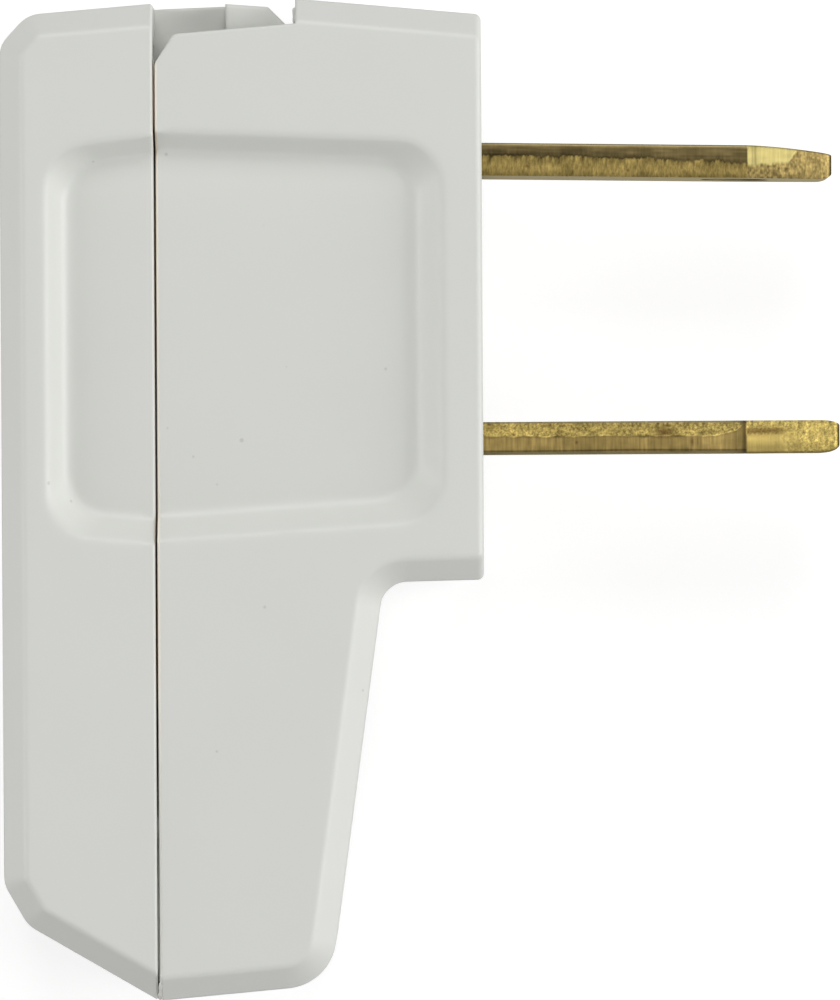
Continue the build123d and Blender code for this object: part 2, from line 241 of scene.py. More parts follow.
class PlugLowerBladeSettings(bpy.types.PropertyGroup):
    """Stance, tip and tones of the lower blade."""

    lift: FloatProperty(
        name="Lift", description="How far the blade stands up in its slot", unit="LENGTH", default=0.0)
    tilt: FloatProperty(
        name="Tilt", description="Tilt towards the tail", unit="ROTATION", default=0.0)
    tip_length: FloatProperty(
        name="Tip length", description="Length of the tapered tip", unit="LENGTH", default=4.3 * MM)
    tip_drop: FloatProperty(
        name="Tip drop", description="Drop of the upper face along the tip", unit="LENGTH", default=0.0)
    nose_top: FloatProperty(
        name="Nose top", description="Rounding of the nose's upper edge", unit="LENGTH", default=0.26 * MM)
    nose_foot: FloatProperty(
        name="Nose foot", description="Rounding of the nose's lower edge", unit="LENGTH", default=0.4 * MM)
    nose: FloatProperty(
        name="Nose", description="Length of these roundings", unit="LENGTH", default=0.85 * MM)
    end_hollow: FloatProperty(
        name="End hollow", description="Depth of the hollow end of the tip", unit="LENGTH", default=0.0)
    strokes: FloatProperty(
        name="Strokes", description="Strength of the fine upright strokes", subtype="FACTOR", default=0.2)
    grit: FloatProperty(
        name="Grit", description="Strength of the torn band's grit", subtype="FACTOR", default=0.5)
    lump_length: FloatProperty(
        name="Lump length", description="Height of the torn band's grit over its width", default=1.0)
    burnished: FloatVectorProperty(
        name="Burnished", description="Colour of the burnished band", subtype="COLOR",
        default=(0.218, 0.157, 0.054))
    torn: FloatVectorProperty(
        name="Torn", description="Colour of the torn band", subtype="COLOR", default=(0.285, 0.215, 0.0655))
    tip_smooth: FloatVectorProperty(
        name="Tip smooth", description="Colour of the smooth part of the tip", subtype="COLOR",
        default=(0.31, 0.235, 0.075))
    tip_torn: FloatVectorProperty(
        name="Tip torn", description="Colour of the mottled part of the tip", subtype="COLOR",
        default=(0.32, 0.245, 0.075))


class PlugMarkSettings(bpy.types.PropertyGroup):
    """Sizes of the moulding marks."""

    notch_lip: FloatProperty(
        name="Notch lip", description="Width of the lip on the notch's end wall", unit="LENGTH",
        default=0.24 * MM)
    gate_width: FloatProperty(
        name="Gate width", description="Width of the lumpy gate mark at the tail", unit="LENGTH",
        default=0.22 * MM)
    seam_lip: FloatProperty(
        name="Seam lip", description="Width of the lips that part of the seam shows", unit="LENGTH",
        default=0.08 * MM)


class PlugStageSettings(bpy.types.PropertyGroup):
    """Floor, lamps and camera."""

    floor: FloatVectorProperty(
        name="Floor", description="Colour of the floor", subtype="COLOR", default=(0.4, 0.4, 0.4))
    floor_glow: FloatProperty(
        name="Floor glow", description="Light added to the floor where it is seen", default=0.73, min=0.0)
    ambient: FloatProperty(
        name="Ambient", description="Strength of the light from all round", default=0.1, min=0.0)
    front_light: FloatProperty(
        name="Front light", description="Power of the low lamp before the blades", unit="POWER", default=1.67)
    front_high_light: FloatProperty(
        name="Front high light", description="Power of the lamp above that one", unit="POWER", default=1.03)
    back_light: FloatProperty(
        name="Back light", description="Power of the low lamp behind the cover", unit="POWER", default=1.52)
    head_light: FloatProperty(
        name="Head light", description="Power of the lamp beyond the head", unit="POWER", default=1.75)
    foot_light: FloatProperty(
        name="Foot light", description="Power of the low lamp beyond the tail", unit="POWER", default=0.82)
    lamp_distance: FloatProperty(
        name="Lamp distance", description="Distance of the lamps from the plug", unit="LENGTH", default=0.6)
    lamp_size: FloatProperty(
        name="Lamp size", description="Width of the square lamps", unit="LENGTH", default=0.35)
    camera_distance: FloatProperty(
        name="Camera distance", description="Distance of the camera from the rim", unit="LENGTH", default=0.5)
    pixels_per_mm: FloatProperty(
        name="Scale", description="Pixels of the picture to a millimetre at the rim", default=21.95)
    camera_roll: FloatProperty(
        name="Camera roll", description="Roll of the camera about its line of sight", unit="ROTATION",
        default=math.radians(-0.35))


def grid_faces(rows, columns):
    """Quads of a grid of rows of points, each row closed on itself, by the numbers of their corners."""
    row, column = np.meshgrid(np.arange(rows - 1), np.arange(columns), indexing="ij")
    after = (column + 1) % columns
    here = row * columns
    beyond = (row + 1) * columns
    corners = (here + column, here + after, beyond + after, beyond + column)
    return np.stack(corners, axis=-1).reshape(-1, 4).tolist()


def closed_faces(rows, columns):
    """Quads of that grid, and triangles from its end rows to two poles numbered after its points."""
    column = np.arange(columns)
    after = (column + 1) % columns
    base = (rows - 1) * columns
    first = np.stack((np.full(columns, rows * columns), after, column), axis=1)
    last = np.stack((np.full(columns, rows * columns + 1), base + column, base + after), axis=1)
    return grid_faces(rows, columns) + first.tolist() + last.tolist()


def link(name, data):
    """An object of some data at the origin, linked to the scene."""
    linked = bpy.data.objects.new(name, data)
    bpy.context.scene.collection.objects.link(linked)
    return linked


def link_mesh(name, points, faces):
    """A mesh object of points and faces, linked to the scene."""
    mesh = bpy.data.meshes.new(name)
    mesh.from_pydata(points, [], faces)
    return link(name, mesh)


def make_piece(name, points, faces, material, attributes=()):
    """A closed mesh object that rides on the plug, with float attributes on its points."""
    piece = link_mesh(name, points.tolist(), faces)
    for label, values in dict(attributes).items():
        layer = piece.data.attributes.new(label, "FLOAT", "POINT").data
        layer.foreach_set("value", values.astype(np.float32))
    piece.data.materials.append(material)
    turn_outwards(piece.data)
    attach(piece, BODY)
    return piece


def drill(piece, centre, axis, diameter, length, sides=48):
    """Cuts a round hole through a blade: a cylinder of that diameter along an axis, taken away and applied.

    The points that this adds have no shade yet, and get a painted shade for the walls inside the hole.
    """
    turn = np.linspace(0.0, 2.0 * math.pi, sides, endpoint=False)
    across = np.eye(3)[[index for index in range(3) if index != axis]]
    ring = (np.cos(turn)[:, None] * across[0] + np.sin(turn)[:, None] * across[1]) * diameter / 2
    along = np.eye(3)[axis] * length / 2
    points = np.concatenate((ring - along, ring + along)) + np.array(centre)
    ends = [list(range(sides))[::-1], list(range(sides, 2 * sides))]
    cutter = link_mesh("drill", points.tolist(), grid_faces(2, sides) + ends)
    mesh = cutter.data
    turn_outwards(mesh)
    cut = piece.modifiers.new("hole", "BOOLEAN")
    cut.operation = "DIFFERENCE"
    cut.solver = "EXACT"
    cut.object = cutter
    with bpy.context.temp_override(object=piece, active_object=piece, selected_objects=[piece]):
        bpy.ops.object.modifier_apply(modifier=cut.name)
    bpy.data.objects.remove(cutter)
    bpy.data.meshes.remove(mesh)
    shade = piece.data.attributes["shade"].data
    values = np.empty(len(shade), np.float32)
    shade.foreach_get("value", values)
    shade.foreach_set("value", np.where(values == 0.0, np.float32(HOLE_SHADE), values))


def turn_outwards(mesh):
    """Turns all faces of a closed mesh round if its signed volume is negative."""
    mesh.calc_loop_triangles()
    corners = np.empty(len(mesh.loop_triangles) * 3, np.int32)
    mesh.loop_triangles.foreach_get("vertices", corners)
    places = np.empty(len(mesh.vertices) * 3, np.float32)
    mesh.vertices.foreach_get("co", places)
    a, b, c = places.reshape(-1, 3)[corners.reshape(-1, 3)].astype(float).transpose(1, 0, 2)
    if np.einsum("ij,ij->", a, np.cross(b, c)) < 0:
        mesh.flip_normals()


def ease(part):
    """A smooth S-curve from 0 at 0 to 1 at 1."""
    return part * part * (3.0 - 2.0 * part)


def ramp(value, start, end):
    """0 before start and 1 after end, with a smooth S-curve between them."""
    return ease(np.clip((value - start) / (end - start), 0.0, 1.0))


def bell(value, middle, width):
    """1 at the middle, falling off both ways over a width like a bell."""
    return np.exp(-(((value - middle) / width) ** 2))


def smooth_noise(values, cell, rng):
    """Random heights from -1 to 1 at steps of one cell, joined by smooth S-curves, at the places given."""
    place = (values - values.min()) / cell
    heights = rng.uniform(-1.0, 1.0, int(place.max()) + 3)
    step = np.floor(place).astype(int)
    share = ease(place - step)
    return heights[step] * (1.0 - share) + heights[step + 1] * share


def smooth_noise_2d(first, second, cells, rng):
    """Random heights from -1 to 1 on a lattice of cells, joined by smooth S-curves both ways."""
    places = [(values - values.min()) / cell for values, cell in zip((first, second), cells)]
    heights = rng.uniform(-1.0, 1.0, [int(place.max()) + 3 for place in places])
    i, j = [np.floor(place).astype(int) for place in places]
    u, v = [ease(place - step) for place, step in zip(places, (i, j))]
    low = heights[i, j] * (1.0 - u) + heights[i + 1, j] * u
    high = heights[i, j + 1] * (1.0 - u) + heights[i + 1, j + 1] * u
    return low * (1.0 - v) + high * v


def blade_path(look, low, high, height):
    """Stations of the strip from its tip to the end of its tab: place, and the way its upper face looks.

    The strip runs straight back from the tip, turns down through a quarter circle about a point below it, and
    ends straight down in the tab.
    """
    radius = look.bend + look.thickness / 2
    bend_x = low.x + look.thickness + look.bend
    corner = look.tip_corner * np.sin(np.linspace(0.0, math.pi / 2, CORNER_STEPS, endpoint=False))
    rounded = high.x - look.tip_corner + corner[::-1]
    outside = np.arange(high.x - look.tip_corner, -COARSE_STEP, -FINE_STEP)
    inside = np.arange(outside[-1] - COARSE_STEP, bend_x + 0.1 * MM, -COARSE_STEP)
    straight = np.concatenate(([high.x], rounded, outside[1:], inside, [bend_x]))
    turn = np.linspace(math.pi / 2, math.pi, BEND_STEPS)[1:]
    tab = np.linspace(height - radius, low.y, TAB_STEPS)[1:]
    x = np.concatenate((straight, bend_x + radius * np.cos(turn), np.full(tab.size, bend_x - radius)))
    y = np.concatenate((np.full(straight.size, height), height - radius + radius * np.sin(turn), tab))
    up = np.concatenate((
        np.tile((0.0, 1.0), (straight.size, 1)),
        np.stack((np.cos(turn), np.sin(turn)), axis=1),
        np.tile((-1.0, 0.0), (tab.size, 1)),
    ))
    return x, y, up, straight.size


def tip_half_width(look, own, x, reach, half):
    """Half width of the strip: full, then a straight taper along the tip, then the arc of its corner."""
    slope = (half - look.tip_width / 2) / own.tip_length
    taper = np.minimum(half, look.tip_width / 2 + (reach - x) * slope)
    centre_x = reach - look.tip_corner
    centre_z = look.tip_width / 2 + look.tip_corner * (slope - math.hypot(1.0, slope))
    along = np.clip((x - centre_x) / look.tip_corner, -1.0, 1.0)
    arc = centre_z + look.tip_corner * np.sqrt(1.0 - along * along)
    touch = centre_x + look.tip_corner * slope / math.hypot(1.0, slope)
    return np.where(x > touch, arc, taper)


def pits(along, down, places):
    """Small dark pits: the deepest of some bells, each at its place along the blade and down its edge."""
    length, depth = PIT_SIZE
    return np.max([bell(along, x * MM, length) * bell(down, y, depth) for x, y in places], axis=0)


def upper_edge(x, run, down, start, rng):
    """How torn, shaded, stained, near the tip and sheared each point of the upper blade's edge is.

    Burnished above and torn below a ragged border that sinks towards the tip. The burnished band has a grey
    rim, and under it a pale band, a painted reflection of the rounded edge; it darkens towards the border,
    most near the housing. The torn one has fine upright lumps with painted light and shade, brightest in its
    middle.
    The tip is bright, mottled in its lower part and at its end, and darkened by painted shade at its rounded
    end.
    """
    along = x[:, None] + 0.0 * down
    travel = run[:, None] + 0.0 * down
    part = np.clip(x / start, 0.0, 1.0)
    columns = np.abs(smooth_noise(run, 0.15 * MM, rng)) - 0.5
    lumps = 0.02 * smooth_noise(run, 0.7 * MM, rng) + 0.07 * columns
    lumps += 0.03 * smooth_noise(run, 0.07 * MM, rng)
    lumps -= 0.1 * part * (np.abs(smooth_noise(run, 0.4 * MM, rng)) - 0.5)
    border = (0.375 + 0.15 * part**1.5 + 0.03 * (1.0 - ramp(part, 0.1, 0.4)) + lumps)[:, None]
    torn = ramp(down, border - 0.02, border + 0.02)
    # Painted reflection: a pale band under the grey rim, for the rounded upper edge reflecting the
    # surroundings
    pale = 0.85 * (1.0 - ramp(down, 0.05, 0.13))
    depth = (0.72 - 0.24 * ramp(part, 0.35, 0.9)) * (0.88 + 0.2 * smooth_noise(run, 0.9 * MM, rng))
    shadow = depth[:, None] * np.exp(-((np.maximum(border - down, 0.0) / 0.15) ** 1.5))
    level = 1.05 + 0.26 * smooth_noise_2d(travel, down, (1.3 * MM, 0.05), rng)
    level += 0.2 * smooth_noise_2d(travel, down, (0.4 * MM, 0.09), rng)
    burnished = level * (1.0 - shadow) + pale
    below = np.clip((down - border) / (1.0 - border), 0.0, 1.0)
    # Painted light and shade on the torn band's upright lumps, strongest towards its top
    painted_lump_light = 0.6 * smooth_noise_2d(travel, down, (0.13 * MM, 0.4), rng)
    painted_lump_light += 0.6 * smooth_noise_2d(travel, down, (0.07 * MM, 0.25), rng)
    clots = smooth_noise_2d(travel, down, (0.3 * MM, 0.22), rng)
    rough = 0.88 + 0.26 * ramp(below, 0.0, 0.45) - 0.42 * ramp(below, 0.6, 0.98) + 0.2 * clots
    rough += 0.5 * painted_lump_light * (1.1 - below) ** 2
    shade = burnished * (1.0 - torn) + rough * torn
    rim = 1.0 - ramp(down, 0.03, 0.07)
    shade += (0.72 - shade) * rim

    past = along - start
    tip = ramp(past, -0.03 * MM, 0.01 * MM)
    end = ramp(past, 1.8 * MM, 2.5 * MM)
    tip_border = 0.6 - 0.08 * ramp(past, 0.6 * MM, 1.6 * MM) - 0.6 * end + 0.5 * lumps[:, None]
    tip_torn = ramp(down, tip_border - 0.07, tip_border + 0.07)
    mottle = smooth_noise_2d(past, down, (0.1 * MM, 0.07), rng)
    lines = bell(past, 0.36 * MM, 0.045 * MM) + 0.7 * bell(past, 0.22 * MM, 0.04 * MM)
    tip_shade = 1.0 - 0.4 * lines * (1.0 - tip_torn)
    tip_shade += 0.06 * smooth_noise_2d(past, down, (0.5 * MM, 0.15), rng)
    tip_shade += ((0.55 - 0.15 * end) * mottle + 0.5 * end * (1.0 - 0.85 * down)) * tip_torn
    tip_shade *= 1.0 - 0.4 * bell(down, 0.0, 0.06) - 0.25 * bell(down, 1.0, 0.06)
    # Painted shade on the rounded end of the tip
    tip_shade *= 1.0 - 0.88 * ramp(along, x.max() - 0.14 * MM, x.max() - 0.03 * MM)
    stain = 0.8 * pits(along, down, UPPER_PITS)
    sheared = 1.0 - 0.85 * rim * (1.0 - tip)
    return torn + (tip_torn - torn) * tip, shade + (tip_shade - shade) * tip, stain, tip, sheared


def lower_edge(x, run, down, start, rng):
    """How torn, shaded, stained, near the tip and sheared each point of the lower blade's edge is.

    Torn above and burnished below a nearly straight border with a thin broken dark line, which rises towards
    the upper face where the tip begins. Both faces have a grey rim, the lower one under a dark line.
    A dark line marks where the tip begins, with painted shade of a shallow hollow just before it. The tip is
    mottled above and smooth below a brown streak, mottled all over at its end, and darkened by painted shade
    at its rounded end. A brown stain, a few scratches and a few dark pits lie on the bands.
    """
    along = x[:, None] + 0.0 * down
    travel = run[:, None] + 0.0 * down
    wander = 0.03 * smooth_noise(run, 1.3 * MM, rng) + 0.022 * smooth_noise(run, 0.25 * MM, rng)
    rise = 0.19 * ramp(x, start - 1.8 * MM, start - 0.2 * MM) + 0.2 * ramp(x, start - 0.5 * MM, start)
    border = (0.46 + wander - rise)[:, None]
    torn = 1.0 - ramp(down, border - 0.02, border + 0.02)
    mottle = 0.85 * smooth_noise_2d(travel, down, (0.09 * MM, 0.07), rng)
    mottle += 0.4 * smooth_noise_2d(travel, down, (0.35 * MM, 0.2), rng)
    broken = (0.6 + 0.5 * smooth_noise(run, 0.5 * MM, rng))[:, None]
    broken = broken * (1.0 - 0.6 * ramp(along, 9.3 * MM, 10.3 * MM))
    below = np.clip((down - border) / (1.0 - border), 0.0, 1.0)
    cloud = smooth_noise_2d(travel, down, (0.45 * MM, 0.3), rng)
    smooth = 1.12 - 0.24 * ramp(below, 0.1, 0.9) + 0.15 * cloud
    smooth += 0.32 * smooth_noise_2d(travel, down, (0.09 * MM, 0.5), rng) * (0.5 + 0.7 * cloud)
    smooth += 0.2 * (1.0 - ramp(along, 0.5 * MM, 2.4 * MM)) - 0.06 * ramp(along, 5.0 * MM, 6.5 * MM)
    smooth += 0.2 * ramp(along, 9.0 * MM, 10.0 * MM)
    rough = 0.9 + 0.25 * ramp(down, 0.05, 0.38) + 0.6 * mottle
    rough += 0.18 * (1.0 - ramp(along, 1.0 * MM, 5.0 * MM))
    rough -= 0.25 * bell(along, 7.4 * MM, 1.5 * MM) * bell(down, 0.18, 0.15)
    shade = smooth * (1.0 - torn) + rough * torn
    shade *= 1.0 - 0.85 * broken * bell(down, border + 0.01, 0.04)
    shade *= 1.0 - 0.66 * bell(down, 0.9 - 0.02 * bell(along, 7.0 * MM, 2.5 * MM), 0.03)
    rim = np.maximum(1.0 - ramp(down, 0.03, 0.08), ramp(down, 0.91, 0.94))
    shade += (np.where(down < 0.5, 0.85, 0.55) - shade) * rim
    # A dark line where the tip begins, and painted shade of a shallow hollow just before it
    hollow = 0.2 * bell(along, start - 0.3 * MM, 0.25 * MM)
    shade *= 1.0 - 0.55 * bell(along, start - 0.08 * MM, 0.13 * MM) - hollow
    blotch = 0.9 * bell(along, 8.35 * MM, 0.45 * MM) * bell(down, 0.34, 0.15)
    stain = blotch * np.clip(0.9 + 0.7 * mottle, 0.0, 1.0)
    scratches = ramp(smooth_noise(run, 0.06 * MM, rng), -0.6, 0.1)[:, None]
    stain += 0.9 * bell(along, 9.7 * MM, 0.25 * MM) * bell(down, 0.64, 0.14) * scratches
    stain = np.maximum(stain, 0.85 * pits(along, down, LOWER_PITS))

    past = along - start
    tip = ramp(past, -0.03 * MM, 0.02 * MM)
    end = ramp(past + 0.5 * MM * mottle, 1.2 * MM, 3.0 * MM)
    tip_torn = np.maximum(1.0 - ramp(down, 0.4, 0.48), end)
    tip_shade = 0.95 + 0.3 * tip_torn * mottle + 0.26 * bell(down, 0.53, 0.12) * (1.0 - end)
    lower_part = 1.0 - 0.28 * ramp(down, 0.58, 0.86)
    tip_shade *= lower_part - 0.35 * bell(down, 1.0, 0.05) - 0.25 * bell(down, 0.0, 0.05)
    # Painted shade on the rounded end of the tip
    tip_shade *= 1.0 - 0.85 * ramp(along, x.max() - 0.16 * MM, x.max() - 0.03 * MM)
    streak = bell(down, 0.33 - 0.01 * past / MM, 0.11) * (1.0 - ramp(past, 1.2 * MM, 2.4 * MM))
    stain += (0.82 * streak * (0.95 + 0.2 * mottle) - stain) * tip
    stain = np.clip(stain, 0.0, 1.0)
    sheared = 1.0 - 0.85 * rim * (1.0 - tip)
    return torn + (tip_torn - torn) * tip, shade + (tip_shade - shade) * tip, stain, tip, sheared


def sheared_blade(look, own, node, bands, burnish, material, seed):
    """A blade as one closed surface: a rectangular section carried along the bent strip.

    One parameter runs along the strip and the other round its section. The two narrow edges were sheared: a
    small rollover and a burnished band at one face, and a torn band that stands back at the other. burnish is
    +1 where the burnished band lies at the upper face and -1 where it lies at the lower one.
    """
    rng = np.random.default_rng(seed)
    low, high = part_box(node)
    half_thick = look.thickness / 2
    height = high.y - half_thick
    x, y, up, straight = blade_path(look, low, high, height)
    reach = high.x
    start = reach - own.tip_length
    level = np.arange(x.size) < straight
    run = np.concatenate(([0.0], np.cumsum(np.hypot(np.diff(x), np.diff(y)))))
    half = tip_half_width(look, own, np.where(level, x, 0.0), reach, high.z)
    part = np.clip((x - start) / own.tip_length, 0.0, 1.0)
    nose = np.clip((x - reach + own.nose) / own.nose, 0.0, 1.0)
    round_off = 1.0 - np.sqrt(1.0 - nose * nose)
    above = half_thick - own.tip_drop * part**1.6 - own.nose_top * round_off
    below = half_thick - own.nose_foot * round_off

    # Section: the edge at +Z from the upper face down, the lower face, the other edge, the upper face
    even = np.linspace(1.0, -1.0, EDGE_STEPS)
    edge = np.cos(np.linspace(0.0, math.pi, EDGE_STEPS)) * BUNCHED + even * (1.0 - BUNCHED)
    depth = np.where(edge > 0, edge * above[:, None], edge * below[:, None])
    down = np.broadcast_to((1.0 - edge) / 2, depth.shape)
    travel = run[:, None] + 0.0 * down
    from_burnished = (1.0 - burnish) / 2 + burnish * down
    sides = []
    marks = []
    for _ in range(2):
        torn, shade, stain, tip, sheared = bands(x, run, down, start, rng)
        lumps = sum(rise * smooth_noise_2d(travel, down, cells, rng) for rise, cells in TEAR_LUMPS)
        inward = np.clip(look.rollover - from_burnished * (above + below)[:, None], 0.0, look.rollover)
        pull = look.rollover - np.sqrt(np.maximum(look.rollover**2 - inward**2, 0.0))
        sides.append(half[:, None] - pull - torn * (look.tear_depth * (0.4 + 0.6 * from_burnished) + lumps))
        marks.append({"torn": torn, "shade": shade, "stain": stain, "tip": tip, "sheared": sheared})
    near, far = sides
    across = np.linspace(0.0, 1.0, FACE_STEPS + 2)[1:-1]
    lower_face = near[:, -1:] * (1.0 - across) - far[:, -1:] * across
    upper_face = -far[:, :1] * (1.0 - across) + near[:, :1] * across
    z = np.concatenate((near, lower_face, -far[:, ::-1], upper_face), axis=1)
    flat = np.ones((x.size, FACE_STEPS))
    h = np.concatenate((depth, -below[:, None] * flat, depth[:, ::-1], above[:, None] * flat), axis=1)
    points = np.stack((x[:, None] + up[:, :1] * h, y[:, None] + up[:, 1:] * h, z), axis=-1)

    shares = np.array(END_RINGS)[:, None, None]
    caps = []
    for ring, sink in ((points[0], -own.end_hollow), (points[-1], 0.0)):
        middle = ring.mean(axis=0)
        cap = middle + (ring - middle) * shares
        cap[..., 0] += sink * (1.0 - shares[..., 0] ** 2)
        caps.append((cap, middle + np.array((sink, 0.0, 0.0))))
    (tip_cap, tip_pole), (tab_cap, tab_pole) = caps
    rings = np.concatenate((tip_cap[::-1], points, tab_cap))
    rows, columns = rings.shape[:2]
    vertices = np.concatenate((rings.reshape(-1, 3), tip_pole[None], tab_pole[None]))

    # The blade stands a little askew: level inside the housing, lifted at the slot, tilted outside it
    lean = own.lift * ramp(vertices[:, 0], -10.0 * MM, 0.0)
    lean -= math.tan(own.tilt) * np.maximum(vertices[:, 0], 0.0)
    vertices[:, 1] += lean * (vertices[:, 0] > low.x + look.thickness + look.bend)

    # Marks of both edges, carried round the section, over the rings of the ends and onto their poles
    attributes = {}
    for label, (on_face, on_end) in FLAT_MARKS.items():
        near_mark, far_mark = [mark[label] for mark in marks]
        values = np.concatenate((near_mark, on_face * flat, far_mark[:, ::-1], on_face * flat), axis=1)
        ends = np.full((len(END_RINGS), columns), on_end)
        attributes[label] = np.append(np.concatenate((ends, values, ends)), (on_end, on_end))

    faces = closed_faces(rows, columns)
    piece = make_piece(f"sheared_{node}", vertices, faces, material, attributes)
    drill(piece, (look.contact_reach, height, 0.0), 1, look.contact_hole, 4.0 * look.thickness)
    screw_y = (SCREW_LOW.y + SCREW_HIGH.y) / 2 + height - (UPPER_HIGH.y - half_thick)
    drill(piece, (low.x + half_thick, screw_y, 0.0), 0, look.tapped_hole, 4.0 * look.thickness)
    piece.data.shade_smooth()
    piece.data.set_sharp_from_angle(angle=math.radians(40))
    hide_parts(node)


def moulded_bar(name, node, ends, width, height, lumps, seed):
    """A thin closed bar along a line of points, of the same plastic as a node.

    An ellipse of that width along X and height along Z is carried along the line. Its size is varied by
    smooth noise of the given share, and it is drawn in to a point at both ends.
    """
    rng = np.random.default_rng(seed)
    rows, columns = 41, 24
    share = np.linspace(0.0, 1.0, rows + 2)[1:-1]
    corners = np.array(ends)
    steps = np.linspace(0.0, 1.0, len(ends))
    line = np.stack([np.interp(share, steps, corners[:, axis]) for axis in range(3)], axis=1)
    taper = np.sqrt(1.0 - np.abs(2.0 * share - 1.0) ** 6) * (1.0 + lumps * smooth_noise(share, 0.13, rng))
    turn = np.linspace(0.0, 2.0 * math.pi, columns, endpoint=False)
    ring = np.stack((width / 2 * np.cos(turn), 0.0 * turn, height / 2 * np.sin(turn)), axis=1)
    rings = line[:, None] + ring * taper[:, None, None]
    points = np.concatenate((rings.reshape(-1, 3), corners[:1], corners[-1:])) * MM
    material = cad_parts[node].data.materials[0]
    piece = make_piece(name, points, closed_faces(rows, columns), material)
    piece.data.shade_smooth()


class Nodes:
    """The node tree of a material or a world, with short ways to add a node and to join two."""

    def __init__(self, owner):
        self.owner = owner
        owner.use_nodes = True
        self.tree = owner.node_tree
        self.tree.nodes.clear()
        self.column = 0

    def add(self, kind, settings=(), **inputs):
        """Adds a node with its settings and its inputs, by name or number, and joins inputs to outputs."""
        node = self.tree.nodes.new(kind)
        node.location = (self.column * 220.0, 0.0)
        self.column += 1
        for key, value in dict(settings).items():
            setattr(node, key, value)
        for key, value in inputs.items():
            socket = node.inputs[int(key[1:])] if key[0] == "_" else node.inputs[key.replace("_", " ")]
            if isinstance(value, bpy.types.NodeSocket):
                self.tree.links.new(value, socket)
            else:
                socket.default_value = value
        return node

    def places(self, stretch=(1.0, 1.0, 1.0)):
        """Object coordinates, stretched."""
        coordinates = self.add("ShaderNodeTexCoord").outputs["Object"]
        return self.add("ShaderNodeMapping", Vector=coordinates, Scale=stretch).outputs["Vector"]

    def noise(self, vector, size, detail=2.0, roughness=0.5):
        """Smooth noise with features of about one size, from 0 to 1."""
        inputs = {"Vector": vector, "Scale": 1.0 / size, "Detail": detail, "Roughness": roughness}
        return self.add("ShaderNodeTexNoise", **inputs).outputs["Fac"]

    def span(self, value, low, high, to_low=0.0, to_high=1.0):
        """A value from low to high carried to another range, held at its ends."""
        node = self.add("ShaderNodeMapRange", _0=value, _1=low, _2=high, _3=to_low, _4=to_high)
        return node.outputs["Result"]

    def vary(self, noise, low, high):
        """A noise carried to the range from low to high."""
        return self.span(noise, *NOISE_RANGE, low, high)

    def between(self, value, low, high, soft):
        """1 where a value lies from low to high, falling to 0 over a soft margin outside them."""
        away = self.math("ABSOLUTE", self.math("SUBTRACT", value, (low + high) / 2))
        return self.span(away, (high - low) / 2, (high - low) / 2 + soft, 1.0, 0.0)

    def math(self, operation, first, second=0.0):
        """Two values joined by an operation."""
        return self.add("ShaderNodeMath", {"operation": operation}, _0=first, _1=second).outputs[0]

    def blend(self, factor, first, second):
        """Two values mixed by a factor."""
        return self.add("ShaderNodeMix", {"data_type": "FLOAT"}, _0=factor, _2=first, _3=second).outputs[0]

    def mix(self, factor, first, second, blend="MIX"):
        """Two colours mixed by a factor."""
        settings = {"data_type": "RGBA", "blend_type": blend}
        return self.add("ShaderNodeMix", settings, _0=factor, _6=first, _7=second).outputs[2]

    def scaled(self, colour, factor):
        """A colour times a factor."""
        grey = self.add("ShaderNodeCombineColor", _0=factor, _1=factor, _2=factor).outputs[0]
        return self.mix(1.0, colour, grey, "MULTIPLY")

    def attribute(self, label):
        """A float attribute of the piece's points."""
        return self.add("ShaderNodeAttribute", {"attribute_name": label}).outputs["Fac"]

    def bump(self, height, strength, distance, **normal):
        """The normal that a height gives."""
        inputs = {"Height": height, "Strength": strength, "Distance": distance, **normal}
        return self.add("ShaderNodeBump", **inputs).outputs["Normal"]

    def finish(self, shader, output="ShaderNodeOutputMaterial"):
        """Joins the shader to the output, and gives back the material or world."""
        self.add(output, Surface=shader.outputs[0])
        return self.owner


def rgba(colour):
    """A colour with full alpha."""
    return (*colour, 1.0)


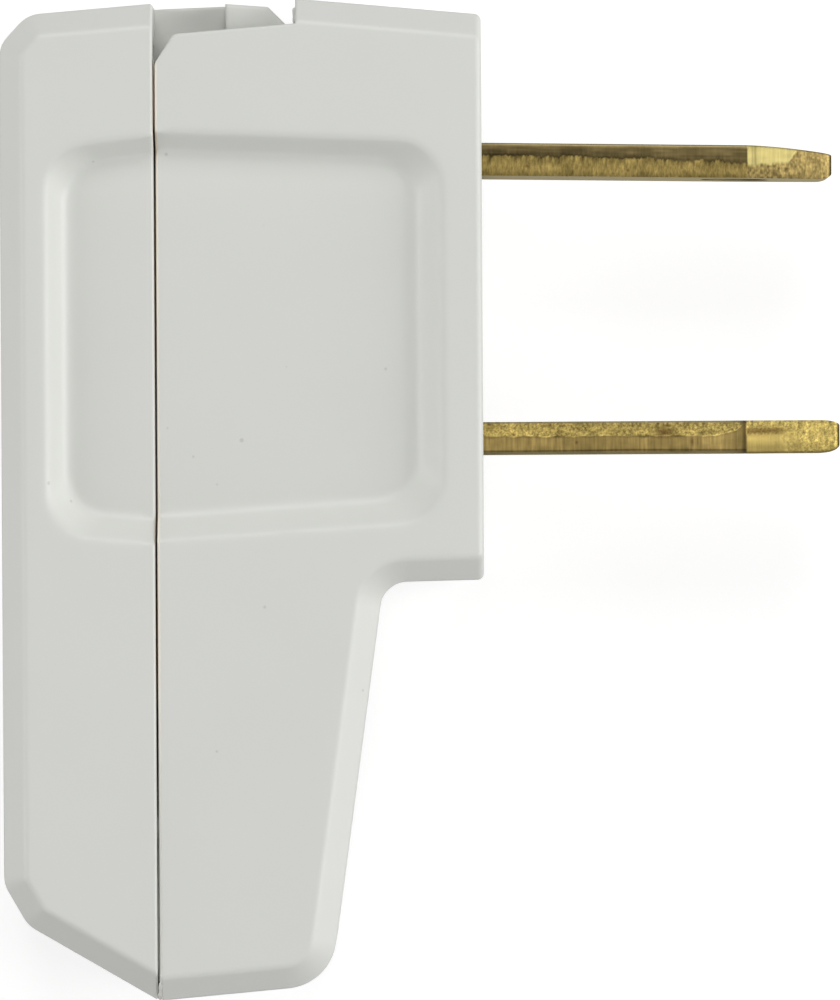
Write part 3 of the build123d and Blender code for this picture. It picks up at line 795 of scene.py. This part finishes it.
def moulded_plastic(look, name, painted_seam_highlight):
    """Satin grey-white plastic: faint cloudy tone, fine mould grain, a few dark specks and brownish seam
    walls.

    With painted_seam_highlight, a thin band beside the seam is pale and warm: a painted highlight of the
    seam's edge. It fades out along the tail. Light turns softly over edges, most over the walls of the grip
    and least at the seam.
    """
    nodes = Nodes(bpy.data.materials.new(name))
    places = nodes.places()
    x, y, _ = nodes.add("ShaderNodeSeparateXYZ", Vector=places).outputs
    tone = nodes.scaled(rgba(look.plastic), nodes.vary(nodes.noise(places, CLOUD), 0.994, 1.006))
    cells = nodes.add("ShaderNodeTexVoronoi", Vector=places, Scale=1.0 / look.speck_spacing)
    pick = nodes.add("ShaderNodeSeparateColor", Color=cells.outputs["Color"]).outputs["Red"]
    size = nodes.span(pick, 0.7, 1.0, 0.0, look.speck_size / look.speck_spacing)
    speck = nodes.span(nodes.math("SUBTRACT", size, cells.outputs["Distance"]), 0.0, 0.04)
    tone = nodes.mix(nodes.math("MULTIPLY", speck, 0.22), tone, SPECK_TONE)
    # Painted highlight: a pale warm band beside the seam's edge, fading towards the tail
    if painted_seam_highlight:
        width = look.seam_highlight_width
        edge = nodes.span(x, BODY_LOW.x + 0.4 * width, BODY_LOW.x + width, 1.0, 0.0)
        edge = nodes.math("MULTIPLY", edge, nodes.span(y, *SEAM_HIGHLIGHT_FADE, 0.15, 1.0))
        tone = nodes.mix(edge, tone, rgba(look.seam_highlight))
    # The walls inside the seam that face across it are tinted brown, over part of its length
    normal = nodes.add("ShaderNodeNewGeometry").outputs["True Normal"]
    facing = nodes.add("ShaderNodeSeparateXYZ", Vector=normal).outputs["X"]
    brownish = nodes.span(nodes.math("ABSOLUTE", facing), 0.8, 0.95)
    brownish = nodes.math("MULTIPLY", brownish, nodes.between(x, SEAM - SEAM_GAP, SEAM + SEAM_GAP, 0.02 * MM))
    brownish = nodes.math("MULTIPLY", brownish, nodes.between(y, *SEAM_BROWNISH, 1.5 * MM))
    tone = nodes.mix(brownish, tone, rgba(look.seam_wall))
    roughness = nodes.vary(nodes.noise(places, SHEEN), look.roughness - 0.03, look.roughness + 0.03)
    grip = [nodes.between(value, *span, GRIP_MARGIN) for value, span in zip((x, y), GRIP)]
    at_seam = nodes.between(x, SEAM - 0.3 * MM, SEAM + 0.3 * MM, 0.4 * MM)
    away = nodes.span(nodes.math("MULTIPLY", *grip), 0.0, 1.0, look.edge_round, look.grip_round)
    radius = nodes.span(at_seam, 0.0, 1.0, away, look.seam_round)
    edges = nodes.add("ShaderNodeBevel", {"samples": 8}, Radius=radius).outputs["Normal"]
    bump = nodes.bump(nodes.noise(places, look.grain, 3.0), 0.5, look.grain_depth, Normal=edges)
    shader = nodes.add("ShaderNodeBsdfPrincipled", Base_Color=tone, Roughness=roughness, Normal=bump, IOR=1.5,
                       Specular_IOR_Level=look.gloss)
    return nodes.finish(shader)


def stamped_brass(look, own, name):
    """Brass of a blade: rolled faces, and sheared edges with a burnished band, a torn band and a bright tip.

    The bands, their shading and their stains are attributes of the piece's points. Fine upright strokes lie
    on the burnished band and fine grit on the torn one.
    """
    nodes = Nodes(bpy.data.materials.new(name))
    torn = nodes.attribute("torn")
    at_tip = nodes.attribute("tip")
    shade = nodes.attribute("shade")
    strokes = nodes.noise(nodes.places((1.0, 0.05, 0.3)), STROKE, 3.0, 0.6)
    smudge = nodes.noise(nodes.places((0.35, 1.0, 1.0)), SMUDGE, 4.0, 0.6)
    grit = nodes.noise(nodes.places((1.0, 1.0 / own.lump_length, 1.0)), GRIT, 3.0, 0.6)
    rolling = nodes.noise(nodes.places((0.03, 1.0, 1.0)), ROLLING)

    band = nodes.mix(torn, rgba(own.burnished), rgba(own.torn))
    tip = nodes.mix(torn, rgba(own.tip_smooth), rgba(own.tip_torn))
    on_band = nodes.vary(strokes, 1.0 - own.strokes, 1.0 + own.strokes)
    fine = nodes.blend(at_tip, on_band, nodes.vary(strokes, 0.88, 1.12))
    fine = nodes.blend(torn, fine, nodes.vary(grit, 1.0 - own.grit, 1.0 + own.grit))
    fine = nodes.math("MULTIPLY", fine, nodes.vary(smudge, 0.86, 1.14))
    edge = nodes.scaled(nodes.mix(at_tip, band, tip), nodes.math("MULTIPLY", fine, shade))
    edge = nodes.mix(nodes.attribute("stain"), edge, STAIN_TONE)
    face = nodes.math("MULTIPLY", nodes.vary(smudge, 0.8, 1.15), shade)
    tone = nodes.mix(nodes.attribute("sheared"), nodes.scaled(rgba(look.brass), face), edge)
    relief = nodes.math("ADD", nodes.math("MULTIPLY", strokes, 0.5), nodes.math("MULTIPLY", grit, torn))
    relief = nodes.math("ADD", relief, nodes.math("MULTIPLY", rolling, 0.25))
    shader = nodes.add("ShaderNodeBsdfPrincipled", Base_Color=tone, Metallic=1.0,
                       Roughness=nodes.vary(smudge, 0.42, 0.54), Specular_Tint=GLINT_TONE,
                       Normal=nodes.bump(relief, 0.35, 0.01 * MM))
    return nodes.finish(shader)


def turned_steel(name):
    """Plated steel of the terminal screws: fine rings round the axis and a faint haze."""
    nodes = Nodes(bpy.data.materials.new(name))
    rings = nodes.noise(nodes.places((1.0, 0.1, 0.1)), RING)
    haze = nodes.noise(nodes.places(), HAZE, 3.0)
    tone = nodes.mix(nodes.vary(haze, 0.0, 1.0), *STEEL_TONES)
    shader = nodes.add("ShaderNodeBsdfPrincipled", Base_Color=tone, Metallic=1.0,
                       Roughness=nodes.vary(haze, 0.25, 0.4), Normal=nodes.bump(rings, 0.4, 0.01 * MM))
    return nodes.finish(shader)


def dress_node(node, material):
    """Gives a CAD node another material."""
    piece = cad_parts[node]
    piece.data.materials.clear()
    piece.data.materials.append(material)


class PLUG_OT_housing(bpy.types.Operator):
    """Gives the two moulded halves their satin plastic"""

    bl_idname = "plug.housing"
    bl_label = "Dress housing"

    def execute(self, context):
        look = context.scene.plug_housing
        dress_node("front_body", moulded_plastic(look, "moulded_body", True))
        dress_node("rear_cover", moulded_plastic(look, "moulded_cover", False))
        return {"FINISHED"}


class PLUG_OT_marks(bpy.types.Operator):
    """Makes the moulding marks: a lip on the notch's end, a gate mark at the tail and two lips in the seam"""

    bl_idname = "plug.marks"
    bl_label = "Make moulding marks"

    def execute(self, context):
        marks = context.scene.plug_marks
        seam = SEAM / MM
        notch, gate, lip = marks.notch_lip / MM, marks.gate_width / MM, marks.seam_lip / MM
        notch_line = ((-8.47, 13.35, 5.9), (-8.46, 12.55, 5.9))
        gate_line = ((-14.8, -31.0, 7.2), (-14.84, -31.5, 6.72), (-14.88, -31.88, 6.25))
        upper_line = ((seam, 11.0, 6.85), (seam, 7.75, 6.85))
        lower_line = ((seam, -21.0, 6.2), (seam, -26.0, 6.85), (seam, -30.9, 7.1))
        for name, node, line, width, height, lumps, seed in (
            ("notch_lip", "front_body", notch_line, notch, 4.0 * notch, 0.15, 5),
            ("gate_mark", "front_body", gate_line, gate, 1.2 * gate, 0.2, 11),
            ("upper_seam_lip", "rear_cover", upper_line, lip, 6.0 * lip, 0.1, 6),
            ("lower_seam_lip", "rear_cover", lower_line, lip, 6.0 * lip, 0.1, 7),
        ):
            moulded_bar(name, node, line, width, height, lumps, seed)
        return {"FINISHED"}


class PLUG_OT_blades(bpy.types.Operator):
    """Makes the two sheared brass blades in place of their solids"""

    bl_idname = "plug.blades"
    bl_label = "Make blades"

    def execute(self, context):
        scene = context.scene
        look = scene.plug_blades
        for own, place, bands, burnish, seed in (
            (scene.plug_upper_blade, "upper", upper_edge, 1, 3),
            (scene.plug_lower_blade, "lower", lower_edge, -1, 8),
        ):
            material = stamped_brass(look, own, f"brass_{place}")
            sheared_blade(look, own, f"{place}_blade", bands, burnish, material, seed)
        return {"FINISHED"}


class PLUG_OT_screws(bpy.types.Operator):
    """Gives the two terminal screws their plated steel"""

    bl_idname = "plug.screws"
    bl_label = "Dress screws"

    def execute(self, context):
        steel = turned_steel("plated_steel")
        for node in ("upper_screw", "lower_screw"):
            dress_node(node, steel)
        return {"FINISHED"}


def seen_directly(nodes):
    """1 on rays from the camera, in reflections and through clear pieces, 0 on rays that light a surface."""
    path = nodes.add("ShaderNodeLightPath")
    seen = nodes.math("MAXIMUM", path.outputs["Is Camera Ray"], path.outputs["Is Glossy Ray"])
    return nodes.math("MAXIMUM", seen, path.outputs["Is Transmission Ray"])


def make_floor(stage):
    """A wide flat floor under the plug, pale, and lifted to white where it is looked at."""
    nodes = Nodes(bpy.data.materials.new("pale_floor"))
    away = nodes.add("ShaderNodeVectorMath", {"operation": "LENGTH"}, _0=nodes.places()).outputs["Value"]
    near, far = 0.1 * stage.lamp_distance, 2.0 * stage.lamp_distance
    glow = nodes.math("MULTIPLY", seen_directly(nodes), nodes.span(away, near, far, stage.floor_glow, 1.0))
    surface = nodes.add("ShaderNodeBsdfDiffuse", Color=rgba(stage.floor)).outputs[0]
    light = nodes.add("ShaderNodeEmission", Strength=glow).outputs[0]
    level = CAD_BOX[0].z - FLOOR_GAP
    corners = [(x * FLOOR_REACH, y * FLOOR_REACH, level) for x, y in ((-1, -1), (1, -1), (1, 1), (-1, 1))]
    floor = link_mesh("floor", corners, [(0, 1, 2, 3)])
    floor.data.materials.append(nodes.finish(nodes.add("ShaderNodeAddShader", _0=surface, _1=light)))


def make_surroundings(stage):
    """A world that lights the plug a little from all round, and is white where it is looked at."""
    nodes = Nodes(bpy.data.worlds.new("surroundings"))
    strength = nodes.span(seen_directly(nodes), 0.0, 1.0, stage.ambient, 1.0)
    background = nodes.add("ShaderNodeBackground", Color=WHITE, Strength=strength)
    bpy.context.scene.world = nodes.finish(background, "ShaderNodeOutputWorld")


def make_lamp(stage, name, bearing, rise, power):
    """A soft square lamp turned to the plug, at a bearing from the blades and a rise above the floor."""
    data = bpy.data.lights.new(name, "AREA")
    data.shape = "SQUARE"
    data.size = stage.lamp_size
    data.energy = power
    lamp = link(name, data)
    aim = (CAD_BOX[0] + CAD_BOX[1]) / 2
    out = stage.lamp_distance * math.cos(rise)
    up = stage.lamp_distance * math.sin(rise)
    lamp.location = (aim.x + out * math.cos(bearing), aim.y + out * math.sin(bearing), up)
    lamp.rotation_euler = (aim - lamp.location).to_track_quat("-Z", "Y").to_euler()
    lamp.visible_camera = False


def make_camera(stage):
    """A camera straight above the flat side, which sees the rim of the housing at the picture's scale."""
    data = bpy.data.cameras.new("camera")
    data.sensor_width = SENSOR
    data.lens = stage.pixels_per_mm * data.sensor_width * stage.camera_distance / MM / PICTURE_HEIGHT
    camera = link("camera", data)
    per_pixel = MM / stage.pixels_per_mm
    middle_x = (PICTURE_WIDTH / 2 - FRONT_COLUMN) * per_pixel
    middle_y = (MIDLINE_ROW - PICTURE_HEIGHT / 2) * per_pixel
    camera.location = (middle_x, middle_y, BODY_HIGH.z - RIM_CHAMFER + stage.camera_distance)
    camera.rotation_euler.z = stage.camera_roll
    bpy.context.scene.camera = camera


class PLUG_OT_stage(bpy.types.Operator):
    """Makes the floor, the soft lamps, the white surroundings and the camera"""

    bl_idname = "plug.stage"
    bl_label = "Make stage"

    def execute(self, context):
        stage = context.scene.plug_stage
        make_floor(stage)
        for name, bearing, rise, power in (
            ("front_lamp", 0, 20, stage.front_light),
            ("front_high_lamp", 0, 45, stage.front_high_light),
            ("head_lamp", 90, 45, stage.head_light),
            ("back_lamp", 180, 20, stage.back_light),
            ("foot_lamp", 270, 20, stage.foot_light),
        ):
            make_lamp(stage, name, math.radians(bearing), math.radians(rise), power)
        make_surroundings(stage)
        make_camera(stage)
        context.scene.view_settings.view_transform = "Standard"
        return {"FINISHED"}


class PLUG_PT_panel(bpy.types.Panel):
    """Lists the steps of the plug"""

    bl_idname = "PLUG_PT_panel"
    bl_label = "Flat plug"
    bl_space_type = "VIEW_3D"
    bl_region_type = "UI"
    bl_category = "Flat plug"

    def draw(self, context):
        for operator in STEPS:
            self.layout.operator(operator.bl_idname)


STEPS = (PLUG_OT_housing, PLUG_OT_marks, PLUG_OT_blades, PLUG_OT_screws, PLUG_OT_stage)
SETTINGS = {
    "plug_housing": PlugHousingSettings,
    "plug_marks": PlugMarkSettings,
    "plug_blades": PlugBladeSettings,
    "plug_upper_blade": PlugUpperBladeSettings,
    "plug_lower_blade": PlugLowerBladeSettings,
    "plug_stage": PlugStageSettings,
}
CLASSES = (*SETTINGS.values(), *STEPS, PLUG_PT_panel)


def register():
    for one in CLASSES:
        bpy.utils.register_class(one)
    for label, group in SETTINGS.items():
        setattr(bpy.types.Scene, label, PointerProperty(type=group))


def unregister():
    for label in SETTINGS:
        delattr(bpy.types.Scene, label)
    for one in reversed(CLASSES):
        bpy.utils.unregister_class(one)


def main():
    """Registers the add-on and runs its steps."""
    register()
    bpy.ops.plug.housing()
    bpy.ops.plug.marks()
    bpy.ops.plug.blades()
    bpy.ops.plug.screws()
    bpy.ops.plug.stage()


if __name__ == "__main__":
    main()
